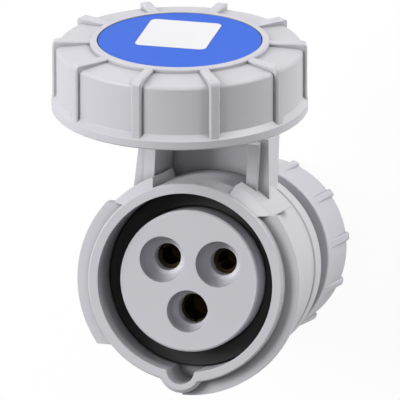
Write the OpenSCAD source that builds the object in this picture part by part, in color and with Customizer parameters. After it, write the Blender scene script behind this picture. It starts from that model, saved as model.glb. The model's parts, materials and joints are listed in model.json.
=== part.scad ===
/* [Mouth] */
// Inside radius of the round collar that the plug's shroud enters
collar_in_r = 28.5; // [27.5:0.1:29.5]
// Wall thickness of the collar
collar_wall = 3.2; // [2.6:0.1:3.4]
// Depth of the ring-shaped gap round the contact face
mouth_depth = 17; // [15:0.5:19]
// Half the width of the keyway slot at six o'clock
key_r = 4.5; // [3.6:0.1:4.6]
// Wall thickness round the keyway
key_wall = 2.8; // [2.2:0.1:2.9]

/* [Bayonet flange] */
// Outside radius of the two bayonet lugs
flange_r = 36.2; // [35.8:0.1:36.3]
// Distance from the rim back to the lugs
flange_front = 4; // [3.5:0.1:4.2]
// Thickness of the lugs
flange_t = 4; // [3:0.1:4.2]

/* [Housing] */
// Length of the front housing
front_l = 42; // [41.5:0.5:43]
// Length of the rear housing up to its neck
rear_l = 25; // [20:0.5:32]
// Length of the ring at the front of the rear housing
rear_ring_l = 8; // [6:0.5:10]
// Radius of the rear housing where it meets the nut
rear_r = 25; // [24:0.5:26.5]
// Wall thickness of the rear housing
rear_wall = 3.4; // [2.5:0.1:4]
// Thickness of the gasket between the two housings
gasket_t = 1; // [0.8:0.1:1.5]
// Thickness of the ledge that the contact carrier bolts to
ledge_t = 3; // [2.5:0.1:4]

/* [Contacts] */
// Radius of the contact carrier's face
carrier_r = 22.6; // [22:0.1:22.8]
// Distance from the rim back to the contact face
carrier_front = 5.2; // [4:0.1:7]
// Radius of the circle that the three contacts stand on
pitch_r = 10.55; // [10.2:0.05:11]
// How far that circle's centre stands above the carrier's middle
contact_rise = 0.8; // [0:0.1:1.2]
// Radius of the dished holes in front of the line contacts
dish_r = 7.3; // [6.6:0.1:7.5]
// Radius of the dished hole in front of the earth contact
earth_dish_r = 6.7; // [6.5:0.1:7]
// Depth of the dished holes
dish_depth = 7; // [5:0.1:7.4]
// Radius of the pin holes at the bottom of the line dishes
line_hole_r = 4.3; // [4:0.1:4.4]
// Radius of the pin hole at the bottom of the earth dish
earth_hole_r = 4.8; // [4.6:0.1:5]
// Bore radius of the phase and neutral sleeves
line_bore_r = 3.05; // [2.8:0.01:3.2]
// Bore radius of the earth sleeve
earth_bore_r = 4.05; // [3.8:0.01:4.2]
// Wall thickness of the contact sleeves
sleeve_wall = 1.3; // [1.1:0.05:1.4]
// Radius of the terminal blocks behind the carrier
terminal_r = 6; // [5.6:0.1:6.6]
// Length of the terminal blocks
terminal_l = 13; // [12:0.5:14]

/* [Gland] */
// Radius of the threaded neck
neck_r = 22; // [21:0.5:22.5]
// Length of the threaded neck
neck_l = 18; // [16:0.5:19]
// Length of the gland nut
nut_l = 29.5; // [27.5:0.5:32]
// Radius of the gland nut's front edge
nut_r = 29.2; // [28:0.1:30]
// Number of grip ribs on the gland nut
nut_ribs = 12; // [8:1:16]
// Radius of the hole through the rubber grommet
cable_r = 8; // [6:0.5:9]
// Radius of the cable outlet in the gland nut
outlet_r = 12; // [11:0.5:14]

/* [Hinge] */
// Height of the hinge pin above the socket's axis
hinge_h = 47.6; // [47.2:0.1:49]
// Distance from the front housing's rear end forward to the hinge pin
hinge_inset = 9; // [8.6:0.1:9.4]
// Radius of the hinge pin
pin_r = 2; // [1.8:0.1:2.4]
// Angle that the lid stands open
open_angle = 78; // [70:1:90]
// Distance between the two cheeks of the bracket
cheek_gap = 30; // [29:0.5:31]
// Thickness of each cheek
cheek_t = 3.5; // [3:0.1:4]

/* [Lid] */
// Inside radius of the locking ring
ring_in_r = 36.9; // [36.8:0.05:37]
// Wall thickness of the locking ring
ring_wall = 1.8; // [1.7:0.1:2.2]
// How far the closed ring reaches back over the collar
ring_back = 12; // [11.8:0.1:12.2]
// How far the ring's flange stands out from its wall
ring_lip = 1.6; // [1.4:0.1:2.2]
// Number of grip ribs on the ring
ring_ribs = 10; // [8:1:12]
// Angle of the first grip rib while the lid is unlocked
ring_phase = 13; // [0:1:36]
// Width of the grip ribs
rib_w = 3.3; // [2:0.1:3.6]
// Radius of the coloured disc
disc_r = 25.7; // [24:0.1:26]
// Thickness of the coloured disc
disc_t = 2.3; // [1.8:0.1:3]
// Thickness of the cap under the ring
cap_t = 3.6; // [3:0.1:5]
// Radius of the hub that the ring turns on
hub_r = 20; // [16:0.5:21]

/* [Hidden] */
$fn = 96;
grey = [0.76, 0.76, 0.78];
eps = 0.01;
running = 0.08;
gap = 0.3;

// Angles of the bayonet flange, anticlockwise from the right as seen from the front
saddle_spans = [[30, 67], [113, 150]];
lug_top = 22.9;
lug_foot = -22.3;
collar_r = collar_in_r + collar_wall;
saddle_r = 34.7;
saddle_front = 1.4;
saddle_full = 5.4;
saddle_end = 30;
key_bulge_r = key_r + key_wall;
key_y = -(collar_r - 3.8);

ledge_end = mouth_depth + ledge_t;
hinge_depth = front_l - hinge_inset;
joint_step = 1.1;
rear_start = front_l + gasket_t;
rear_end = rear_start + rear_l;
nut_gap = 1.5;
nut_start = rear_end + nut_gap;
overall_l = nut_start + nut_l;

carrier_flange_r = collar_in_r - 0.6;
carrier_flange_t = 4;
carrier_back = ledge_end + 12;
carrier_body_r = pitch_r + 8;
carrier_screw_r = carrier_r + 2.8;
sleeve_front = carrier_front + dish_depth + 4.6;
phase_at = 150;
neutral_at = 30;
earth_at = 270;

spigot_l = 9.5;
spigot_r = collar_in_r - 0.1;
spigot_wall = 2.4;
housing_screw_at = [225, 315];
housing_screw_depth = front_l - 6;
screw_r = 1.5;
wire_hole_r = 3;
wire_hole_l = 10.5;

grommet_r = 17.4;
grommet_l = 10;
neck_end = rear_end + neck_l;
grommet_start = neck_end - 8;
washer_start = grommet_start + grommet_l;
washer_t = 2;
nut_shoulder = washer_start + washer_t;
nut_taper = 1;
nut_rib_proud = 0.4;
nut_rib_w = 2.6;

boss_r = 5.6;
barrel_r = 5.2;
cheek_front = ring_back + 0.6;
web_t = 2.4;
web_front = hinge_depth + 3;
web_top = hinge_h - barrel_r - 1.8;

seal_t = 1.6;
seal_in_r = collar_in_r - 2;
seal_out_r = collar_r + 1.9;
cap_under = ring_back + gap + 1;
cap_r = ring_in_r - 0.4;
cap_top = cap_under + cap_t;
plate_under = cap_top + gap;
plate_t = 2.6;
plate_top = plate_under + plate_t;
hub_top = plate_top + gap;
disc_top = hub_top + disc_t;
rim_top = disc_top + 0.2;
rim_in_r = disc_r + gap;
rim_out_r = rim_in_r + 2.2;
wall_r = ring_in_r + ring_wall;
ring_flange_r = wall_r + ring_lip;
shoulder_in = rim_top - 1.4;
shoulder_out = shoulder_in - 0.8;
rib_r = ring_flange_r - 0.3;
rib_top = rim_top - 0.25;
rib_edge = 0.5;
flare_l = 7;
flare = 2;
hook_in_r = collar_r + 3.5;
hook_spans = [[42, 65], [226, 245]];
tongue_in_r = collar_r + 1.4;
tongue_half = 18;
arm_half = 11.4;
stud_r = 1.55;
stud_l = 2.4;
stud_at_r = 0.75 * hub_r;

// Points along an arc in the plane of a profile
function arc(cx, cy, r, a0, a1, n = 8) =
    [for (i = [0:n]) [cx + r * cos(a0 + (a1 - a0) * i / n), cy + r * sin(a0 + (a1 - a0) * i / n)]];

// Height just inside the collar's outer surface, at a distance from the middle
function wall_height(x) = sqrt(collar_r * collar_r - x * x) - 0.6;

// Housing parts are drawn with Z as the depth behind the rim
module from_rim() {
    translate([0, 0, overall_l]) mirror([0, 0, 1]) children();
}

// Lid parts are drawn closed, with Z outwards from the ring's rear edge, and swung open
module lid_open() {
    translate([0, hinge_h, overall_l - hinge_depth])
        rotate([-open_angle, 0, 0])
            translate([0, -hinge_h, hinge_depth - ring_back]) children();
}

// Slice of space between two angles
module wedge(a0, a1, r, h) {
    linear_extrude(h) polygon(concat([[0, 0]], arc(0, 0, r, a0, a1, 10)));
}

// Part of a tube between two angles
module tube_sector(r_in, r_out, h, span) {
    intersection() {
        difference() {
            cylinder(h = h, r = r_out);
            translate([0, 0, -1]) cylinder(h = h + 2, r = r_in);
        }
        translate([0, 0, -1]) wedge(span[0], span[1], 2 * r_out, h + 2);
    }
}

// Plate whose outline lies in the plane of height and depth
module side_plate(x0, t, points) {
    translate([x0, 0, 0]) rotate([90, 0, 90]) linear_extrude(t) polygon(points);
}

module at_contact(angle) {
    translate([pitch_r * cos(angle), pitch_r * sin(angle) + contact_rise, 0]) children();
}

// Bulge round the keyway, with fillets that blend it into the collar
module key_bulge() {
    fillet_r = 2;
    nose = 1;
    translate([0, key_y, 0]) rotate_extrude() polygon([
        [0, 0], [key_bulge_r - nose, 0], [key_bulge_r, nose], [key_bulge_r, ledge_end + 1],
        [key_bulge_r - 1, ledge_end + 2], [0, ledge_end + 2]
    ]);
    // Centre of the fillet circle that touches both the collar and the bulge, and where it touches them
    a = collar_r + fillet_r;
    b = key_bulge_r + fillet_r;
    y = (a * a - b * b + key_y * key_y) / (2 * key_y);
    x = sqrt(a * a - y * y);
    on_collar = [x, y] * collar_r / a;
    on_bulge = [x * key_bulge_r / b, key_y + (y - key_y) * key_bulge_r / b];
    translate([0, 0, nose]) linear_extrude(ledge_end - nose) difference() {
        polygon([
            [0, key_y], [-on_collar[0], on_collar[1]], [-on_bulge[0], on_bulge[1]], on_bulge, on_collar
        ]);
        for (side = [-1, 1]) translate([side * x, y]) circle(r = fillet_r);
    }
}

module cheek(side) {
    x_in = cheek_gap / 2;
    foot = wall_height(x_in + cheek_t);
    outline = concat(
        [[foot, cheek_front], [hinge_h - 3.6, cheek_front]],
        arc(hinge_h, hinge_depth, boss_r, -80, 90, 12),
        [[foot, hinge_depth + boss_r + 1.6]]
    );
    mirror([side < 0 ? 1 : 0, 0, 0]) {
        side_plate(x_in, cheek_t, outline);
        fin(x_in + cheek_t);
    }
}

// Outer triangular fin that stiffens a cheek
module fin(x) {
    fin_front = cheek_front + 2.5;
    foot = 4;
    head = 2.4;
    low = wall_height(x + foot);
    translate([0, 0, fin_front]) linear_extrude(1.6) polygon([
        [x - 1, low], [x + foot, low],
        [x + head, hinge_h - 2], [x - 1, hinge_h - 2]
    ]);
}

module front_housing() {
    outline = [
        [0, 0], [collar_r - 0.4, 0], [collar_r, 0.4],
        [collar_r, front_l - 2.7], [collar_r - joint_step, front_l - 2.3],
        [collar_r - joint_step, front_l], [0, front_l]
    ];
    color(grey) from_rim() difference() {
        union() {
            rotate_extrude() polygon(outline);
            key_bulge();
            lugs();
            for (span = saddle_spans) saddle(span);
            cheek(1);
            cheek(-1);
            translate([-cheek_gap / 2 - 1, wall_height(cheek_gap / 2 + 1), web_front])
                cube([cheek_gap + 2, web_top - wall_height(cheek_gap / 2 + 1), web_t]);
        }
        translate([0, 0, -1]) cylinder(h = mouth_depth + 1, r = collar_in_r);
        translate([0, 0, mouth_depth - 1]) cylinder(h = ledge_t + 2, r = carrier_r + 0.2);
        translate([0, 0, ledge_end]) cylinder(h = front_l, r = collar_in_r);
        translate([0, key_y, -1]) cylinder(h = mouth_depth + 1, r = key_r);
        translate([-overall_l / 2, hinge_h, hinge_depth]) rotate([0, 90, 0]) cylinder(h = overall_l, r = pin_r);
        for (a = [0, 180])
            rotate([0, 0, a]) translate([carrier_screw_r, 0, mouth_depth + 0.6])
                cylinder(h = ledge_t, r = screw_r);
        for (a = housing_screw_at)
            rotate([0, 0, a]) translate([0, 0, housing_screw_depth]) rotate([0, 90, 0]) {
                cylinder(h = overall_l, r = screw_r + 0.1);
                translate([0, 0, collar_r - 1.6]) cylinder(h = overall_l, r = 3);
            }
    }
}

// Two lugs of the bayonet, cut level where the saddles begin and at the left one's foot
module lugs() {
    lug([-90, 55], -flange_r - 1);
    lug([125, 235], lug_foot);
}

module lug(span, low) {
    translate([0, 0, flange_front]) intersection() {
        tube_sector(collar_r - 1, flange_r, flange_t, span);
        translate([-flange_r - 1, low, -1]) cube([2 * flange_r + 2, lug_top + 0.25 - low, flange_t + 2]);
    }
}

// Fairing that carries the bracket, rising from just behind the rim
module saddle(span) {
    intersection() {
        translate([-saddle_r - 1, lug_top, 0]) cube([2 * saddle_r + 2, saddle_r, saddle_end + 1]);
        rotate_extrude() polygon([
            [collar_r - 1, saddle_front], [collar_r - 0.1, saddle_front], [saddle_r - 0.5, saddle_full - 0.8],
            [saddle_r - 0.1, saddle_full], [saddle_r, saddle_full + 1], [saddle_r, saddle_end],
            [collar_r - 1, saddle_end]
        ]);
        wedge(span[0], span[1], 2 * saddle_r, saddle_end + 1);
    }
}

module contact_carrier() {
    outline = [
        [0, carrier_front], [carrier_r - 0.5, carrier_front], [carrier_r, carrier_front + 0.5],
        [carrier_r, ledge_end], [carrier_flange_r, ledge_end],
        [carrier_flange_r, ledge_end + carrier_flange_t], [carrier_body_r, ledge_end + carrier_flange_t],
        [carrier_body_r, carrier_back], [0, carrier_back]
    ];
    color([0.72, 0.72, 0.74]) from_rim() difference() {
        rotate_extrude() polygon(outline);
        for (a = [phase_at, neutral_at]) at_contact(a) contact_hole(dish_r, line_hole_r, line_bore_r);
        at_contact(earth_at) contact_hole(earth_dish_r, earth_hole_r, earth_bore_r);
        for (a = [0, 180])
            rotate([0, 0, a]) translate([carrier_screw_r, 0, 0]) cylinder(h = carrier_back + 1, r = screw_r);
    }
}

// Dished entry, pin hole and the chamber that holds the sleeve
module contact_hole(dish, hole_r, bore_r) {
    chamber_r = bore_r + sleeve_wall + 0.1;
    floor_z = carrier_front + dish_depth;
    rotate_extrude() polygon([
        [0, carrier_front - 1], [dish, carrier_front - 1], [dish, carrier_front + 0.1],
        [dish - 0.25, floor_z - 3.2], [dish - 0.6, floor_z - 1.9], [dish - 1.2, floor_z - 0.8],
        [dish - 1.7, floor_z - 0.3], [hole_r + 0.1, floor_z], [hole_r, floor_z + 0.3],
        [hole_r, sleeve_front - 0.2], [chamber_r, sleeve_front - 0.2], [chamber_r, carrier_back + 1],
        [0, carrier_back + 1]
    ]);
}

module mouth_seal() {
    seal_h = 3;
    in_r = carrier_r + 0.15;
    out_r = collar_in_r - 0.2;
    color([0.06, 0.06, 0.06]) from_rim() rotate_extrude() polygon([
        [in_r, mouth_depth], [in_r, mouth_depth - seal_h + 0.4], [in_r + 0.4, mouth_depth - seal_h],
        [out_r - 0.4, mouth_depth - seal_h], [out_r, mouth_depth - seal_h + 0.4], [out_r, mouth_depth]
    ]);
}

// Slotted sleeve with its terminal block
module contact(angle, bore_r) {
    out_r = bore_r + sleeve_wall;
    back = carrier_back + terminal_l;
    color([0.83, 0.66, 0.3]) from_rim() at_contact(angle) rotate([0, 0, angle]) difference() {
        rotate_extrude() polygon([
            [bore_r, sleeve_front], [out_r, sleeve_front], [out_r, carrier_back],
            [terminal_r, carrier_back], [terminal_r, back], [wire_hole_r, back],
            [wire_hole_r, back - wire_hole_l], [0, back - wire_hole_l], [0, carrier_back - 3],
            [bore_r, carrier_back - 3]
        ]);
        translate([-out_r - 1, -0.4, sleeve_front - 1]) cube([2 * out_r + 2, 0.8, 9]);
        for (z = terminal_screw_z)
            translate([0, 0, z]) rotate([0, 90, 0]) cylinder(h = terminal_r + 1, r = clamp_screw_r + 0.05);
    }
}

terminal_screw_z = [carrier_back + 0.34 * terminal_l, carrier_back + 0.76 * terminal_l];
clamp_screw_r = 1.95;

// Pair of slotted clamp screws on one terminal
module terminal_screws(angle) {
    color([0.75, 0.75, 0.76]) from_rim() at_contact(angle) rotate([0, 0, angle])
        for (z = terminal_screw_z) translate([0, 0, z]) rotate([0, 90, 0]) difference() {
            union() {
                translate([0, 0, wire_hole_r + 0.1]) cylinder(h = terminal_r - 2, r = clamp_screw_r);
                translate([0, 0, terminal_r + 0.02]) cylinder(h = 2, r = clamp_screw_r + 0.55);
            }
            translate([-terminal_r, -0.4, terminal_r + 1.1]) cube([2 * terminal_r, 0.8, 3]);
        }
}

module phase_contact() {
    contact(phase_at, line_bore_r);
}

module neutral_contact() {
    contact(neutral_at, line_bore_r);
}

module earth_contact() {
    contact(earth_at, earth_bore_r);
}

module phase_screws() {
    terminal_screws(phase_at);
}

module neutral_screws() {
    terminal_screws(neutral_at);
}

module earth_screws() {
    terminal_screws(earth_at);
}

module carrier_screws() {
    head_z = ledge_end + carrier_flange_t;
    color([0.75, 0.75, 0.76]) from_rim() for (a = [0, 180]) rotate([0, 0, a])
        translate([carrier_screw_r, 0, 0]) difference() {
            union() {
                translate([0, 0, mouth_depth + 0.8]) cylinder(h = head_z - mouth_depth, r = screw_r - 0.05);
                translate([0, 0, head_z]) cylinder(h = 2, r = screw_r + 0.9);
            }
            translate([-5, -0.35, head_z + 1.2]) cube([10, 0.7, 3]);
        }
}

module housing_gasket() {
    color([0.06, 0.06, 0.06]) from_rim() translate([0, 0, front_l]) difference() {
        cylinder(h = gasket_t, r = collar_r - joint_step - 0.8);
        translate([0, 0, -1]) cylinder(h = gasket_t + 2, r = spigot_r + 0.1);
    }
}

module rear_housing() {
    ring_r = collar_r - 0.6;
    ring_end = rear_start + 2 + rear_ring_l;
    outer = [
        [spigot_r, rear_start - spigot_l], [spigot_r, rear_start], [collar_r - joint_step, rear_start],
        [collar_r - joint_step, rear_start + 2], [ring_r, rear_start + 2.3],
        [ring_r, ring_end - 0.8], [ring_r - 0.8, ring_end], [rear_r + 2.4, ring_end + 0.8],
        [rear_r + 1, ring_end + 2.4], [rear_r, rear_end - 0.5], [rear_r - 0.5, rear_end],
        [neck_r, rear_end], [neck_r, neck_end - 0.8], [neck_r - 0.8, neck_end]
    ];
    inner = [
        [grommet_r + 0.1, neck_end], [grommet_r + 0.1, grommet_start], [grommet_r - 1.6, grommet_start],
        [grommet_r - 1.6, rear_end], [rear_r - rear_wall, rear_end - 4], [rear_r - rear_wall, ring_end + 1],
        [spigot_r - spigot_wall, ring_end - 4], [spigot_r - spigot_wall, rear_start - spigot_l]
    ];
    color(grey) from_rim() difference() {
        rotate_extrude() polygon(concat(outer, inner));
        for (a = housing_screw_at)
            rotate([0, 0, a]) translate([0, 0, housing_screw_depth]) rotate([0, 90, 0])
                cylinder(h = overall_l, r = screw_r + 0.1);
    }
}

module housing_screws() {
    color([0.75, 0.75, 0.76]) from_rim() for (a = housing_screw_at)
        rotate([0, 0, a]) translate([0, 0, housing_screw_depth]) rotate([0, 90, 0]) difference() {
            union() {
                translate([0, 0, spigot_r - spigot_wall]) cylinder(h = collar_wall + 2, r = screw_r);
                translate([0, 0, collar_r - 1.6]) cylinder(h = 1.5, r = 2.8);
            }
            for (turn = [0, 90]) rotate([0, 0, turn])
                translate([-1.6, -0.35, collar_r - 0.9]) cube([3.2, 0.7, 3]);
        }
}

module gland_grommet() {
    color([0.1, 0.1, 0.1]) from_rim() rotate_extrude() polygon([
        [cable_r, grommet_start], [grommet_r, grommet_start], [grommet_r, neck_end],
        [grommet_r - 1.2, washer_start], [cable_r, washer_start]
    ]);
}

module gland_washer() {
    color([0.8, 0.8, 0.82]) from_rim() translate([0, 0, washer_start + 0.02]) difference() {
        cylinder(h = washer_t - 0.04, r = neck_r - 0.5);
        translate([0, 0, -1]) cylinder(h = washer_t + 2, r = cable_r + 2.5);
    }
}

module gland_nut() {
    back_chamfer = 2.2;
    back_r = nut_r - nut_taper;
    color(grey) from_rim() difference() {
        union() {
            rotate_extrude() polygon([
                [0, nut_start], [nut_r - 0.3, nut_start], [nut_r, nut_start + 0.4],
                [back_r, overall_l - back_chamfer], [back_r - 3, overall_l], [0, overall_l]
            ]);
            for (i = [0:nut_ribs - 1]) rotate([0, 0, 10 + i * 360 / nut_ribs]) nut_rib(back_chamfer);
        }
        translate([0, 0, nut_start - 1]) cylinder(h = 1 + nut_shoulder - nut_start, r = neck_r + running);
        translate([0, 0, nut_start - 1]) cylinder(h = 2.4, r1 = neck_r + 4.2, r2 = neck_r + 1.8);
        cylinder(h = overall_l + 1, r = outlet_r);
    }
}

// Grip rib that rises as the nut tapers towards its rear edge
module nut_rib(back_chamfer) {
    rib_out = nut_r + nut_rib_proud;
    foot_r = nut_r - 3;
    end = overall_l - back_chamfer;
    half = nut_rib_w / 2;
    intersection() {
        rotate([90, 0, 0]) linear_extrude(nut_rib_w, center = true) polygon([
            [foot_r, nut_start + 2], [nut_r - 0.2, nut_start + 2], [rib_out - 0.1, end - 6],
            [rib_out, end - 3], [rib_out, end - 1.2], [rib_out - 0.3, end - 0.3],
            [rib_out - 1, end + 0.3], [foot_r, end + 0.5]
        ]);
        linear_extrude(overall_l) polygon([
            [foot_r, -half], [rib_out - 0.8, -half], [rib_out - 0.2, 0.4 - half], [rib_out, 0.9 - half],
            [rib_out, half - 0.9], [rib_out - 0.2, half - 0.4], [rib_out - 0.8, half], [foot_r, half]
        ]);
    }
}

module lid_cap() {
    pin_z = ring_back - hinge_depth;
    arm = concat(
        [[tongue_in_r, 0.5], [tongue_in_r, -2]],
        arc(hinge_h, pin_z, barrel_r - 0.2, 230, 90, 10),
        [[cap_r - 0.2, -2.4], [cap_r - 0.2, 0.5]]
    );
    color(grey) lid_open() difference() {
        union() {
            translate([0, 0, cap_under]) cylinder(h = cap_t, r = cap_r);
            translate([0, 0, cap_top - eps]) cylinder(h = hub_top - cap_top + eps, r = hub_r);
            tube_sector(tongue_in_r, cap_r, cap_top - 1, [90 - tongue_half, 90 + tongue_half]);
            side_plate(-arm_half, 3, arm);
            side_plate(arm_half - 3, 3, arm);
            intersection() {
                side_plate(-arm_half, 2 * arm_half, arm);
                arm_skin();
            }
            translate([-cheek_gap / 2 + 0.4, hinge_h, pin_z]) rotate([0, 90, 0])
                cylinder(h = cheek_gap - 0.8, r = barrel_r);
        }
        translate([0, 0, cap_under - 1]) lid_seal_ring(1.6, 0.1);
        translate([-overall_l / 2, hinge_h, pin_z]) rotate([0, 90, 0])
            cylinder(h = overall_l, r = pin_r + running);
        for (a = [30, 150, 270])
            rotate([0, 0, a]) translate([stud_at_r, 0, hub_top - stud_l - 0.2])
                cylinder(h = stud_l + 1, r = stud_r + 0.05);
    }
}

// Upper skin of the arm, which leaves its underside ribbed
module arm_skin() {
    pin_z = ring_back - hinge_depth;
    side_plate(-arm_half, 2 * arm_half, [
        [cap_r - 2.6, 1], [cap_r - 2.6, -2.6], [hinge_h + 2, pin_z - 2],
        [hinge_h + 12, pin_z], [cap_r + 4, 1]
    ]);
}

module lid_seal_ring(h, grow) {
    difference() {
        cylinder(h = h, r = seal_out_r + grow);
        translate([0, 0, -1]) cylinder(h = h + 2, r = seal_in_r - grow);
    }
}

module lid_seal() {
    color([0.06, 0.06, 0.06]) lid_open() translate([0, 0, ring_back + gap]) lid_seal_ring(seal_t - 0.02, 0);
}

module locking_ring() {
    corner = 1.2;
    outline = concat(
        [
            [hub_r + running, plate_under], [hub_r + running, plate_top], [rim_in_r, plate_top],
            [rim_in_r, rim_top], [rim_out_r - 0.4, rim_top], [rim_out_r, rim_top - 0.4],
            [rim_out_r, shoulder_in]
        ],
        arc(wall_r - corner, shoulder_out - corner, corner, 90, 0),
        [
            [wall_r, 4.6], [ring_flange_r, 2.8], [ring_flange_r, 0.4], [ring_flange_r - 0.4, 0],
            [ring_in_r + flare, 0], [ring_in_r, flare_l], [ring_in_r, plate_under]
        ]
    );
    color(grey) lid_open() union() {
        rotate_extrude() polygon(outline);
        for (i = [0:ring_ribs - 1]) rotate([0, 0, ring_phase + i * 360 / ring_ribs]) ring_rib();
        for (span = hook_spans)
            translate([0, 0, 0.7]) tube_sector(hook_in_r, ring_in_r + flare + 0.3, 2.8, span);
    }
}

// Grip rib that runs out over the shoulder and down the wall, with its edges broken
module ring_rib() {
    corner = 2.2;
    half = rib_w / 2;
    start = rim_out_r - 0.3;
    intersection() {
        rotate([90, 0, 0]) linear_extrude(rib_w, center = true) polygon(concat(
            [[start, shoulder_out - 1], [start, rib_top]],
            arc(rib_r - corner, rib_top - corner, corner, 90, 0),
            [[rib_r, 2], [wall_r - 0.8, 2], [wall_r - 0.8, shoulder_out - 1]]
        ));
        linear_extrude(rim_top) polygon([
            [start, -half], [rib_r - rib_edge, -half], [rib_r, rib_edge - half], [rib_r, half - rib_edge],
            [rib_r - rib_edge, half], [start, half]
        ]);
        rotate([90, 0, 90]) linear_extrude(rib_r) polygon([
            [-half, 0], [half, 0], [half, rib_top - rib_edge], [half - rib_edge, rib_top],
            [rib_edge - half, rib_top], [-half, rib_top - rib_edge]
        ]);
    }
}

module lid_disc() {
    color([0.16, 0.4, 0.85]) lid_open() union() {
        translate([0, 0, hub_top]) cylinder(h = disc_t, r = disc_r);
        for (a = [30, 150, 270])
            rotate([0, 0, a]) translate([stud_at_r, 0, hub_top - stud_l]) cylinder(h = stud_l + 0.1, r = stud_r);
    }
}

module hinge_pin() {
    half = cheek_gap / 2 + cheek_t;
    color([0.75, 0.75, 0.76]) from_rim() translate([-half, hinge_h, hinge_depth]) rotate([0, 90, 0])
        cylinder(h = 2 * half, r = pin_r);
}

front_housing();
contact_carrier();
mouth_seal();
phase_contact();
neutral_contact();
earth_contact();
phase_screws();
neutral_screws();
earth_screws();
carrier_screws();
housing_gasket();
rear_housing();
housing_screws();
gland_grommet();
gland_washer();
gland_nut();
lid_cap();
lid_seal();
locking_ring();
lid_disc();
hinge_pin();
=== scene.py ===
"""Looks of the industrial socket: materials, camera, lamps and the small pieces the solids leave out."""
import json
import math

import bmesh
import bpy
from mathutils import Matrix, Vector


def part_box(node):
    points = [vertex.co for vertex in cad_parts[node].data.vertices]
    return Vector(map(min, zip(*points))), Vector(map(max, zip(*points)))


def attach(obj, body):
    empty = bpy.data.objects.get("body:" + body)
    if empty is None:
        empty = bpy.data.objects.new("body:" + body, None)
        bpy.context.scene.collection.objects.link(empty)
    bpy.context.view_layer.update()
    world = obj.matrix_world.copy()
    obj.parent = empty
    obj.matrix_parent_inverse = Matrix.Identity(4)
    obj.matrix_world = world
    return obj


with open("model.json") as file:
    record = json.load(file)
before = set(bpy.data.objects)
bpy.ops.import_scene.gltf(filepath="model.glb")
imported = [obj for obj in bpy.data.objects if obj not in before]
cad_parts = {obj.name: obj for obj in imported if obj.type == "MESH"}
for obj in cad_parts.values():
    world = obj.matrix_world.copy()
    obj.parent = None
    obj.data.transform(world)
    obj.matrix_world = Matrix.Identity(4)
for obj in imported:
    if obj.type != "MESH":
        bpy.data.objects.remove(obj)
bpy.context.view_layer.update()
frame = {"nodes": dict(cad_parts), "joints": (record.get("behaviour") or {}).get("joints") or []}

MM = 0.001
SCENE = bpy.context.scene

# Camera of the photograph: turn, height and roll in degrees, seen from the mouth's side
CAMERA_TURN = 14.27
CAMERA_HEIGHT = 8.32
CAMERA_ROLL = 3.0
# Far enough for a nearly parallel view, near enough for the clip distance
CAMERA_DISTANCE = 5.0
CAMERA_CLIP_END = 20
PIXELS_PER_MM = 3.17
FRAME_PIXELS = 400
# Where the picture's middle lies from the centre of the mouth, to the right and up
MIDDLE_RIGHT = 4.79 * MM
MIDDLE_UP = 26.25 * MM

# Softboxes: name, direction from the object as (right, up, back) of the camera, and watts
LAMPS = [
    ("left_front", (-1.2, 0.3, 0.9), 18),
    ("right", (1.4, 0.1, 0.1), 12),
    ("right_top", (0.9, 1.0, 0.3), 17),
    ("front", (0.0, 0.1, 1.4), 2.2),
]
LAMP_DISTANCE = 1.3
LAMP_SIZE = 0.7
# The lamps aim at this height above the middle of the mouth, between the mouth and the lid
LAMP_AIM_UP = 30 * MM
WORLD_STRENGTH = 0.14
FLOOR_SIZE = 12
FLOOR_WHITE = (0.9, 0.9, 0.9, 1)
# Share of the floor that shows as plain white, the rest takes light and shadow
FLOOR_GLOW_SHARE = 0.95

# Bare plate on the disc: width and height, and its middle from the disc's, across and towards the hinge
PLATE_SIZE = (22.8 * MM, 25.0 * MM)
PLATE_OFFSET = (-1.8 * MM, 5.0 * MM)
PLATE_TURN = 2.0
PLATE_CORNER = 2.0 * MM
PLATE_THICKNESS = 0.2 * MM
PLATE_SUNK = 0.05 * MM
PLATE_BEVEL_IN = 0.08 * MM
PLATE_BEVEL_DOWN = 0.05 * MM

# Gap between the gland nut and the body, where the neck's thread shows
NUT_GAP = 1.5 * MM
THREAD_PITCH = 2 * MM
THREAD_DEPTH = 0.55 * MM


def srgb(red, green, blue):
    """Linear colour of an 8-bit screen colour."""
    def linear(value):
        value /= 255
        return value / 12.92 if value <= 0.04045 else ((value + 0.055) / 1.055) ** 2.4
    return (linear(red), linear(green), linear(blue), 1)


LIGHT_GREY = srgb(192, 191, 197)
NUT_GREY = srgb(190, 189, 196)
DISC_BLUE = srgb(8, 88, 204)
PLATE_WHITE = srgb(218, 218, 221)
WASHER_WHITE = srgb(215, 215, 215)
SEAL_BLACK = srgb(20, 20, 21)
# Brass darker than its own colour, as painted shade down in the contact holes
SHADED_BRASS = srgb(62, 50, 32)
STEEL = srgb(190, 190, 192)


def camera_axes():
    """Right, up and back directions of the camera in the model's frame."""
    turn, height, roll = (math.radians(a) for a in (CAMERA_TURN, CAMERA_HEIGHT, CAMERA_ROLL))
    back = Vector((math.sin(turn) * math.cos(height), math.sin(height), math.cos(turn) * math.cos(height)))
    level = Vector((math.cos(turn), 0, -math.sin(turn)))
    upright = back.cross(level)
    right = math.cos(roll) * level + math.sin(roll) * upright
    return right, back.cross(right), back


def make_camera(mouth):
    """Camera that shows the mouth at the photograph's scale and place."""
    right, up, back = camera_axes()
    data = bpy.data.cameras.new("camera")
    data.lens = PIXELS_PER_MM / MM * CAMERA_DISTANCE / FRAME_PIXELS * data.sensor_width
    data.clip_end = CAMERA_CLIP_END
    camera = bpy.data.objects.new("camera", data)
    SCENE.collection.objects.link(camera)
    place = mouth + MIDDLE_RIGHT * right + MIDDLE_UP * up + CAMERA_DISTANCE * back
    turn = Matrix((right, up, back)).transposed().to_4x4()
    camera.matrix_world = Matrix.Translation(place) @ turn
    SCENE.camera = camera


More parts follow.
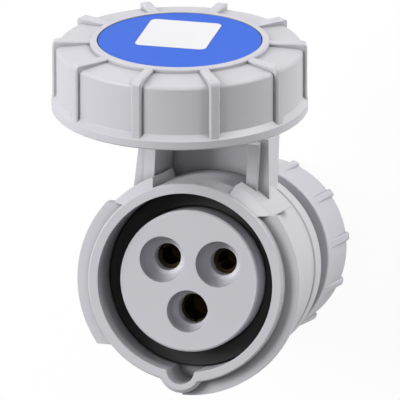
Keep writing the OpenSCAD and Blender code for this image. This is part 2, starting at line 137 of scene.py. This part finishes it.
class Nodes:
    """Small helper that adds and links the nodes of one material."""

    def __init__(self, material):
        if isinstance(material, str):
            material = bpy.data.materials.new(material)
        self.material = material
        self.material.use_nodes = True
        self.tree = self.material.node_tree
        self.shader = self.tree.nodes["Principled BSDF"]

    def add(self, kind, inputs=None, **settings):
        """Node with its settings and the plain values of its inputs."""
        node = self.tree.nodes.new(kind)
        for key, value in settings.items():
            setattr(node, key, value)
        for key, value in (inputs or {}).items():
            node.inputs[key].default_value = value
        return node

    def link(self, source, target):
        self.tree.links.new(source, target)

    def math(self, operation, *values):
        """Output of a maths node fed with sockets or numbers."""
        node = self.add("ShaderNodeMath", operation=operation)
        for socket, value in zip(node.inputs, values):
            if isinstance(value, (int, float)):
                socket.default_value = value
            else:
                self.link(value, socket)
        return node.outputs[0]

    def remap(self, source, low, high, source_low=0, source_high=1):
        """Source, from its own low to its own high, brought to low to high."""
        node = self.add("ShaderNodeMapRange", {"From Min": source_low, "From Max": source_high,
                                               "To Min": low, "To Max": high})
        self.link(source, node.inputs["Value"])
        return node.outputs["Result"]

    def noise(self, scale, detail):
        """Noise fixed to the piece."""
        place = self.add("ShaderNodeTexCoord")
        node = self.add("ShaderNodeTexNoise", {"Scale": scale, "Detail": detail})
        self.link(place.outputs["Object"], node.inputs["Vector"])
        return node.outputs["Fac"]

    def relief(self, height, distance, strength=1, under=None):
        """Relief of that height on the surface, over the normal that lies under it."""
        bump = self.add("ShaderNodeBump", {"Strength": strength, "Distance": distance})
        self.link(height, bump.inputs["Height"])
        if under:
            self.link(under, bump.inputs["Normal"])
        self.link(bump.outputs["Normal"], self.shader.inputs["Normal"])

    def feed(self, **sources):
        """Sockets linked to the shader's inputs, named with underscores."""
        for key, source in sources.items():
            self.link(source, self.shader.inputs[key.replace("_", " ").title()])


def painted_crease_shade(n, reach=4.5 * MM, deepest=0.3):
    """Factor that darkens seams and inner corners with painted shade, from ambient occlusion put into the
    colour.
    """
    near = n.add("ShaderNodeAmbientOcclusion", {"Distance": reach}, samples=6)
    return n.remap(near.outputs["AO"], deepest, 1, source_low=0.2, source_high=0.85)


def moulded_plastic(name, colour, grain=0.5, roughness=0.42, round_edge=0.35 * MM, specular=0.5):
    """Injection-moulded plastic: fine spark-eroded grain, faint cloudiness, rounded edges and painted
    shade in creases.
    """
    n = Nodes(name)
    cloud = n.noise(scale=38, detail=3)
    tint = n.remap(cloud, 0.955, 1.03)
    mix = n.add("ShaderNodeMix", {"Factor": 1, "A": colour}, data_type="RGBA", blend_type="MULTIPLY")
    # Painted shade: the colour darkens in seams and inner corners, where shade falls
    n.link(n.math("MULTIPLY", tint, painted_crease_shade(n)), mix.inputs["B"])
    n.feed(base_color=mix.outputs["Result"], roughness=n.remap(cloud, roughness - 0.05, roughness + 0.07))
    edge = n.add("ShaderNodeBevel", {"Radius": round_edge}, samples=6)
    n.relief(n.noise(scale=2600, detail=2), 0.03 * MM, grain * 0.12, under=edge.outputs["Normal"])
    n.shader.inputs["IOR"].default_value = 1.49
    n.shader.inputs["Specular IOR Level"].default_value = specular
    return n.material


def rubber(name, colour):
    """Dull black seal rubber with a dusty bloom."""
    n = Nodes(name)
    bloom = n.noise(scale=220, detail=4)
    ramp = n.add("ShaderNodeValToRGB")
    ramp.color_ramp.elements[0].color = colour
    ramp.color_ramp.elements[1].color = tuple(1.6 * c for c in colour[:3]) + (1,)
    n.link(bloom, ramp.inputs["Fac"])
    n.feed(base_color=ramp.outputs["Color"])
    n.relief(bloom, 0.04 * MM, 0.2)
    n.shader.inputs["Roughness"].default_value = 0.62
    return n.material


def metal(name, colour, roughness):
    """Machined metal with a fine uneven sheen."""
    n = Nodes(name)
    sheen = n.noise(scale=900, detail=2)
    n.feed(roughness=n.remap(sheen, roughness - 0.06, roughness + 0.08))
    n.relief(sheen, 0.02 * MM, 0.1)
    n.shader.inputs["Base Color"].default_value = colour
    n.shader.inputs["Metallic"].default_value = 1
    return n.material


def add_thread(material, top):
    """Screw thread below that height, as relief on the plain neck that the solid has."""
    n = Nodes(material)
    place = n.add("ShaderNodeNewGeometry")
    parts = n.add("ShaderNodeSeparateXYZ")
    n.link(place.outputs["Position"], parts.inputs[0])
    angle = n.math("ARCTAN2", parts.outputs["Y"], parts.outputs["X"])
    turns = n.math("DIVIDE", angle, 2 * math.pi)
    rise = n.math("DIVIDE", parts.outputs["Z"], THREAD_PITCH)
    along = n.math("FRACT", n.math("ADD", rise, turns))
    # The ridge goes from 0 to a half and back, hence twice the depth below
    ridge = n.math("ABSOLUTE", n.math("SUBTRACT", along, 0.5))
    height = n.math("MULTIPLY", ridge, n.math("LESS_THAN", parts.outputs["Z"], top))
    grain = next(node for node in n.tree.nodes if node.bl_idname == "ShaderNodeBump")
    n.relief(height, 2 * THREAD_DEPTH, under=grain.outputs["Normal"])
    return material


def dress(material, *names):
    """Gives these CAD nodes that material."""
    for name in names:
        node = frame["nodes"][name]
        node.data.materials.clear()
        node.data.materials.append(material)


def lid_face():
    """Middle of the disc's outer face, and the directions across it, towards the hinge and outwards."""
    joint = next(joint for joint in frame["joints"] if joint["name"] == "ring_turn")
    middle = Vector(joint["pos_m"])
    out = -Vector(joint["axis"]).normalized()
    across = Vector((1, 0, 0))
    disc = frame["nodes"]["lid_disc"]
    top = max((disc.matrix_world @ vertex.co - middle).dot(out) for vertex in disc.data.vertices)
    return middle + top * out, across, out.cross(across), out


def rounded_rectangle(width, height, corner, steps=8):
    """Outline points of a rectangle with round corners."""
    points = []
    for index, (side_x, side_y) in enumerate(((1, 1), (-1, 1), (-1, -1), (1, -1))):
        for step in range(steps + 1):
            turn = math.pi / 2 * (index + step / steps)
            points.append((side_x * (width / 2 - corner) + corner * math.cos(turn),
                           side_y * (height / 2 - corner) + corner * math.sin(turn)))
    return points


def name_plate():
    """Thin bare plate on the blue disc, where the real one carries its rating."""
    origin, across, towards_hinge, out = lid_face()
    turn = math.radians(PLATE_TURN)
    along = math.cos(turn) * across + math.sin(turn) * towards_hinge
    upward = math.cos(turn) * towards_hinge - math.sin(turn) * across
    middle = origin + PLATE_OFFSET[0] * across + PLATE_OFFSET[1] * towards_hinge
    width, height = PLATE_SIZE
    shape = bmesh.new()
    rings = []
    for grow, level in ((0, -PLATE_SUNK), (0, PLATE_THICKNESS - PLATE_BEVEL_DOWN),
                        (-PLATE_BEVEL_IN, PLATE_THICKNESS)):
        outline = rounded_rectangle(width + 2 * grow, height + 2 * grow, PLATE_CORNER + grow)
        rings.append([shape.verts.new(middle + x * along + y * upward + level * out) for x, y in outline])
    for lower, upper in zip(rings, rings[1:]):
        for index in range(len(lower)):
            following = (index + 1) % len(lower)
            shape.faces.new((lower[index], lower[following], upper[following], upper[index]))
    shape.faces.new(rings[-1])
    shape.faces.new(reversed(rings[0]))
    bmesh.ops.recalc_face_normals(shape, faces=shape.faces)
    mesh = bpy.data.meshes.new("name_plate")
    shape.to_mesh(mesh)
    shape.free()
    plate = bpy.data.objects.new("name_plate", mesh)
    SCENE.collection.objects.link(plate)
    mesh.materials.append(moulded_plastic("plate_white", PLATE_WHITE, grain=0.15, roughness=0.35,
                                          round_edge=0.05 * MM))
    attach(plate, "lid")


def shadow_floor():
    """Pale floor that reads as the photograph's white and still takes a trace of the shadow."""
    n = Nodes("floor_white")
    n.shader.inputs["Base Color"].default_value = FLOOR_WHITE
    n.shader.inputs["Roughness"].default_value = 0.9
    path = n.add("ShaderNodeLightPath")
    seen = n.math("MAXIMUM", path.outputs["Is Camera Ray"], path.outputs["Is Glossy Ray"])
    glow = n.add("ShaderNodeEmission", {"Strength": 1})
    mix = n.add("ShaderNodeMixShader")
    n.link(n.math("MULTIPLY", seen, FLOOR_GLOW_SHARE), mix.inputs["Fac"])
    n.link(n.shader.outputs["BSDF"], mix.inputs[1])
    n.link(glow.outputs["Emission"], mix.inputs[2])
    n.link(mix.outputs["Shader"], n.tree.nodes["Material Output"].inputs["Surface"])
    bpy.ops.mesh.primitive_plane_add(size=FLOOR_SIZE)
    floor = bpy.context.object
    floor.name = "floor"
    floor.data.materials.append(n.material)


def lamp(name, direction, power, target):
    """Square softbox that faces the target from that direction."""
    data = bpy.data.lights.new(name, "AREA")
    data.energy = power
    data.size = LAMP_SIZE
    light = bpy.data.objects.new(name, data)
    SCENE.collection.objects.link(light)
    aim = direction.normalized()
    light.location = target + aim * LAMP_DISTANCE
    light.rotation_euler = aim.to_track_quat("Z", "Y").to_euler()


def make_light(target):
    """Softboxes, a weak even light, and a backdrop that the camera sees as white."""
    right, up, back = camera_axes()
    for name, (to_right, to_up, to_back), power in LAMPS:
        lamp(name, to_right * right + to_up * up + to_back * back, power, target)
    world = bpy.data.worlds.new("studio")
    SCENE.world = world
    world.use_nodes = True
    nodes, links = world.node_tree.nodes, world.node_tree.links
    nodes["Background"].inputs["Color"].default_value = (1, 1, 1, 1)
    path = nodes.new("ShaderNodeLightPath")
    strength = nodes.new("ShaderNodeMapRange")
    strength.inputs["To Min"].default_value = WORLD_STRENGTH
    links.new(path.outputs["Is Camera Ray"], strength.inputs["Value"])
    links.new(strength.outputs["Result"], nodes["Background"].inputs["Strength"])


def main():
    mouth = Vector((0, 0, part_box("front_housing")[1][2]))
    make_camera(mouth)
    make_light(mouth + Vector((0, LAMP_AIM_UP, 0)))
    shadow_floor()
    neck_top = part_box("gland_nut")[1][2] + NUT_GAP
    dress(moulded_plastic("housing_grey", LIGHT_GREY), "front_housing")
    dress(add_thread(moulded_plastic("rear_grey", LIGHT_GREY), neck_top), "rear_housing")
    name_plate()
    dress(moulded_plastic("lid_grey", LIGHT_GREY), "locking_ring", "lid_cap")
    dress(moulded_plastic("nut_grey", NUT_GREY), "gland_nut")
    dress(moulded_plastic("carrier_grey", LIGHT_GREY, grain=0.3), "contact_carrier")
    dress(moulded_plastic("disc_blue", DISC_BLUE, grain=0.2, roughness=0.4, specular=0.2), "lid_disc")
    dress(moulded_plastic("washer_white", WASHER_WHITE), "gland_washer")
    dress(rubber("seal_black", SEAL_BLACK), "mouth_seal", "lid_seal", "housing_gasket", "gland_grommet")
    dress(metal("brass", SHADED_BRASS, 0.45), "phase_contact", "neutral_contact", "earth_contact")
    dress(metal("steel", STEEL, 0.32), "phase_screws", "neutral_screws", "earth_screws",
          "carrier_screws", "housing_screws", "hinge_pin")
    SCENE.view_settings.view_transform = "Standard"


main()
